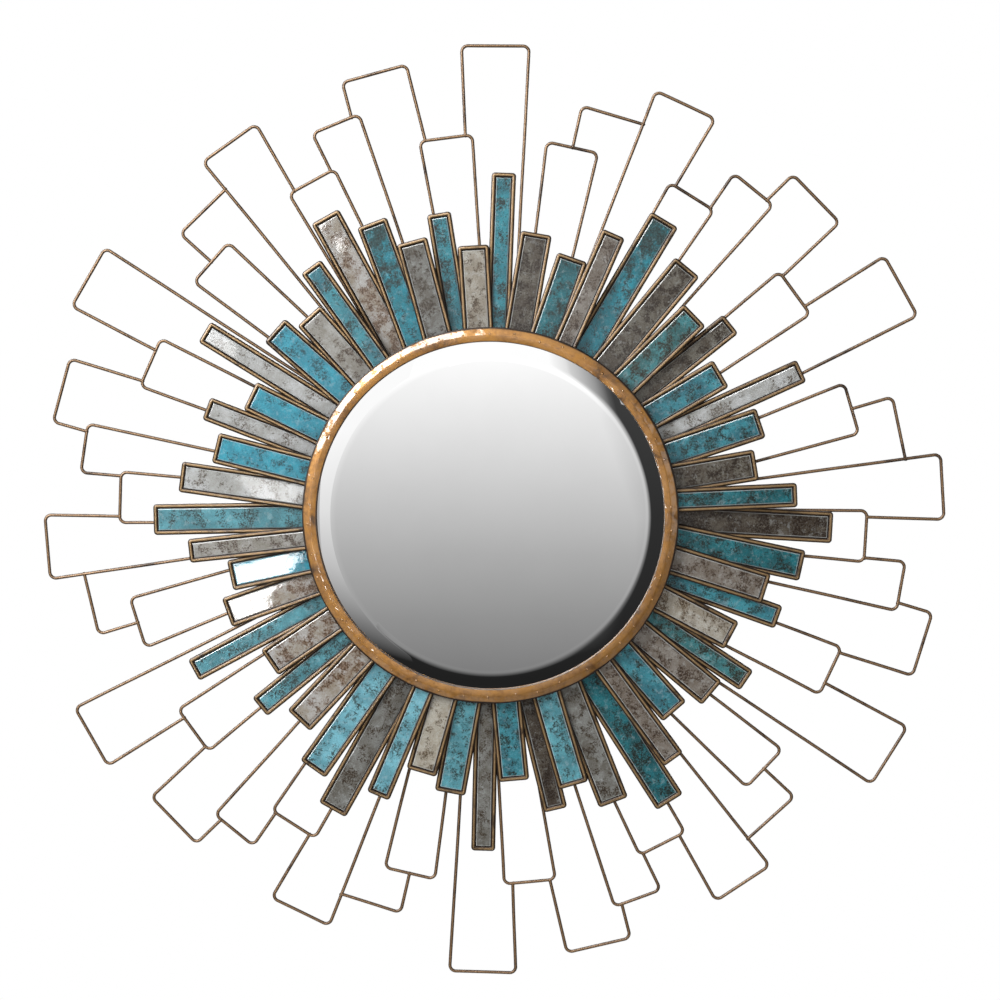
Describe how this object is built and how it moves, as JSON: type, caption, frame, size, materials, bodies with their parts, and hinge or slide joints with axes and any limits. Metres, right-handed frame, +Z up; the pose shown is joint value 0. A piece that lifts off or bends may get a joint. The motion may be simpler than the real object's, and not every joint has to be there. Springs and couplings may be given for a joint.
{
  "type": "wall mirror",
  "caption": "Sunburst wall mirror: round bevelled glass in a bronze ring, with teal and grey inlaid trays fanned around it and a lattice of bent bronze wire loops behind.",
  "frame": {"origin": "middle of the rear face of the hanging cleat, where it lies against the wall", "axes": "+Z up, +Y into the wall, the glass faces -Y and +X is to the viewer's right"},
  "size_m": [0.9033, 0.04, 0.9329],
  "materials": {
    "silvered_glass": "polished silvered glass with a bevelled edge",
    "antique_bronze": "antique bronze, glossy lacquer over a brown patina",
    "wire_bronze": "brushed antique bronze wire",
    "teal_tray": "teal antiqued glass inlay in a bronze rim",
    "grey_tray": "smoke-grey antiqued glass inlay with rust flecks in a bronze rim",
    "teal_inlay": "teal antiqued glass, dark mottling, polished",
    "grey_inlay": "smoke-grey antiqued glass, rust mottling, polished",
    "blackened_board": "matt black painted board",
    "dark_steel": "dark oxidised steel",
    "felt": "pressed black felt"
  },
  "bodies": {
    "root": {"mirror_glass": "silvered_glass", "ring_frame": "antique_bronze", "backing_board": "blackened_board", "hanging_cleat": "dark_steel", "spacer_strip": "felt", "wire_rays": "wire_bronze", "tray_01": "teal_tray", "tray_02": "grey_tray", "tray_03": "teal_tray", "tray_04": "grey_tray", "tray_05": "teal_tray", "tray_06": "grey_tray", "tray_07": "teal_tray", "tray_08": "grey_tray", "tray_09": "teal_tray", "tray_10": "grey_tray", "tray_11": "teal_tray", "tray_12": "grey_tray", "tray_13": "teal_tray", "tray_14": "grey_tray", "tray_15": "teal_tray", "tray_16": "grey_tray", "tray_17": "teal_tray", "tray_18": "grey_tray", "tray_19": "teal_tray", "tray_20": "grey_tray", "tray_21": "teal_tray", "tray_22": "grey_tray", "tray_23": "teal_tray", "tray_24": "grey_tray", "tray_25": "teal_tray", "tray_26": "grey_tray", "tray_27": "teal_tray", "tray_28": "grey_tray", "tray_29": "teal_tray", "tray_30": "grey_tray", "tray_31": "teal_tray", "tray_32": "grey_tray", "tray_33": "teal_tray", "tray_34": "grey_tray", "tray_35": "teal_tray", "tray_36": "grey_tray", "tray_37": "teal_tray", "tray_38": "grey_tray", "tray_39": "teal_tray", "tray_40": "grey_tray", "tray_41": "teal_tray", "tray_42": "grey_tray", "tray_43": "teal_tray", "tray_44": "grey_tray", "tray_45": "teal_tray", "tray_46": "grey_tray", "tray_47": "teal_tray", "tray_48": "grey_tray", "tray_49": "teal_tray", "tray_50": "grey_tray", "tray_51": "teal_tray", "tray_52": "grey_tray", "tray_53": "teal_tray", "tray_54": "grey_tray"}
  },
  "joints": []
}
